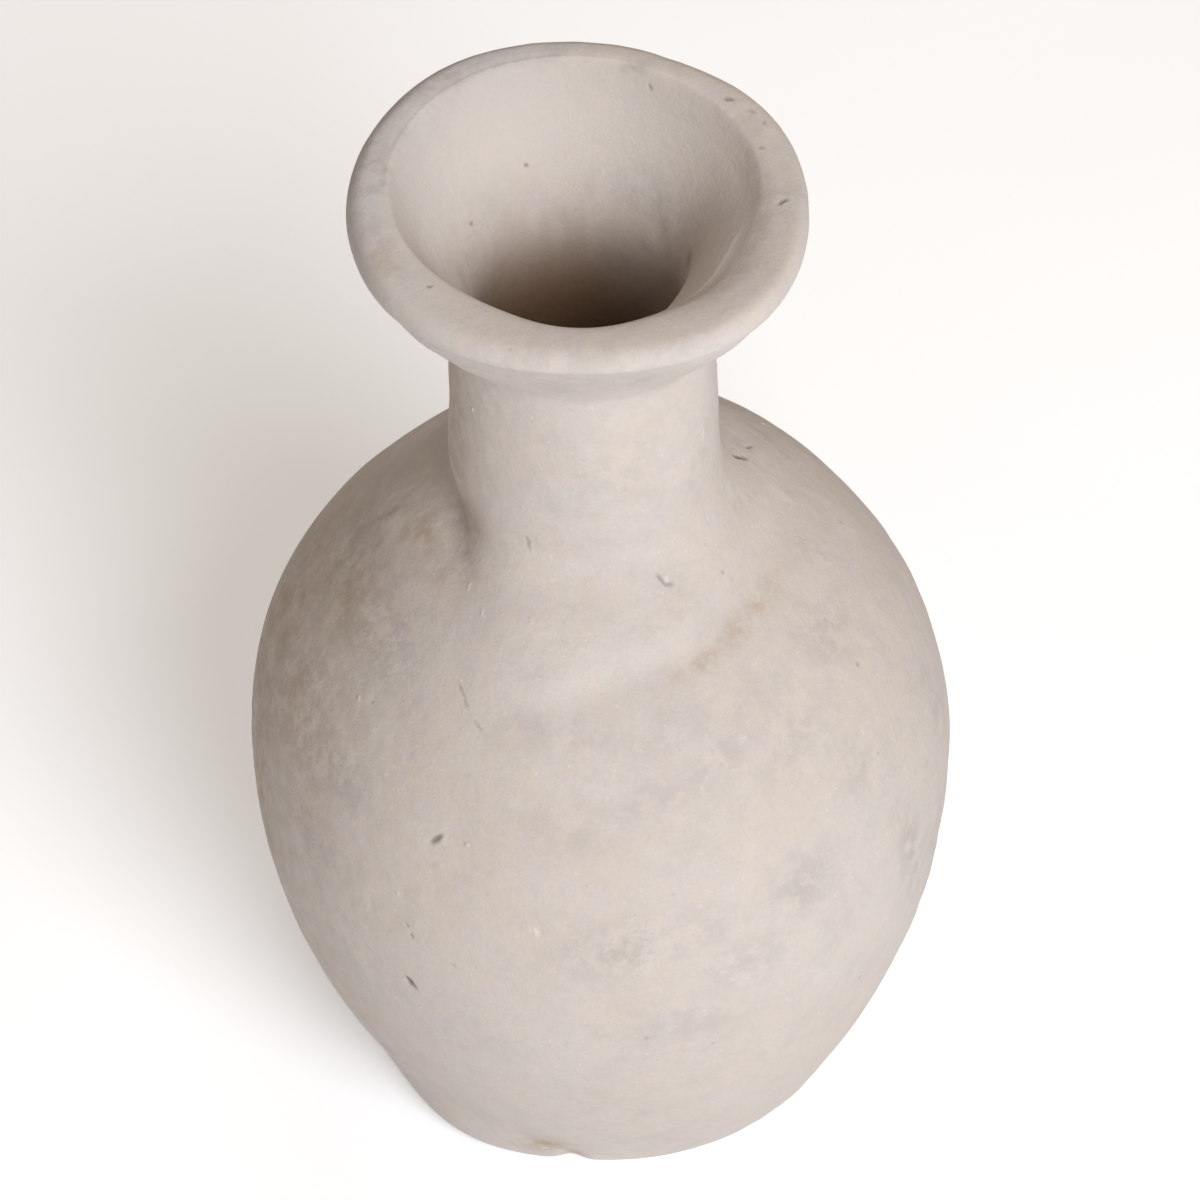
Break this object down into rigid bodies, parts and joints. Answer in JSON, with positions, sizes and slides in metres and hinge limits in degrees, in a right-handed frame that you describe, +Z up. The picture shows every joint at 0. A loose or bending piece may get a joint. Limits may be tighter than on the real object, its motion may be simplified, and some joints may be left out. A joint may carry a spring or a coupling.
{
  "type": "vase",
  "caption": "Hand-built bottle vase in pale matte earthenware: ovoid body on a flat base, cylindrical neck with a clay collar at its root, flared mouth with a thick rounded lip.",
  "frame": {"origin": "on the ground, at the middle of the flat base", "axes": "+Z up along the body's axis, -Y towards the pictured front, +X to the picture's right"},
  "size_m": [0.12, 0.1198, 0.1955],
  "materials": {
    "earthenware": "matte unglazed, smoothed by hand, fine pits and grey-brown smudges",
    "earthenware_inside": "matte unglazed, pressed with the fingers"
  },
  "bodies": {
    "root": {"base_disc": "earthenware", "lower_wall": "earthenware", "shoulder_wall": "earthenware", "neck_collar": "earthenware", "neck_tube": "earthenware", "mouth_funnel": "earthenware", "lip_coil": "earthenware", "base_seam_coil": "earthenware_inside", "belly_seam_coil": "earthenware_inside"}
  },
  "joints": []
}
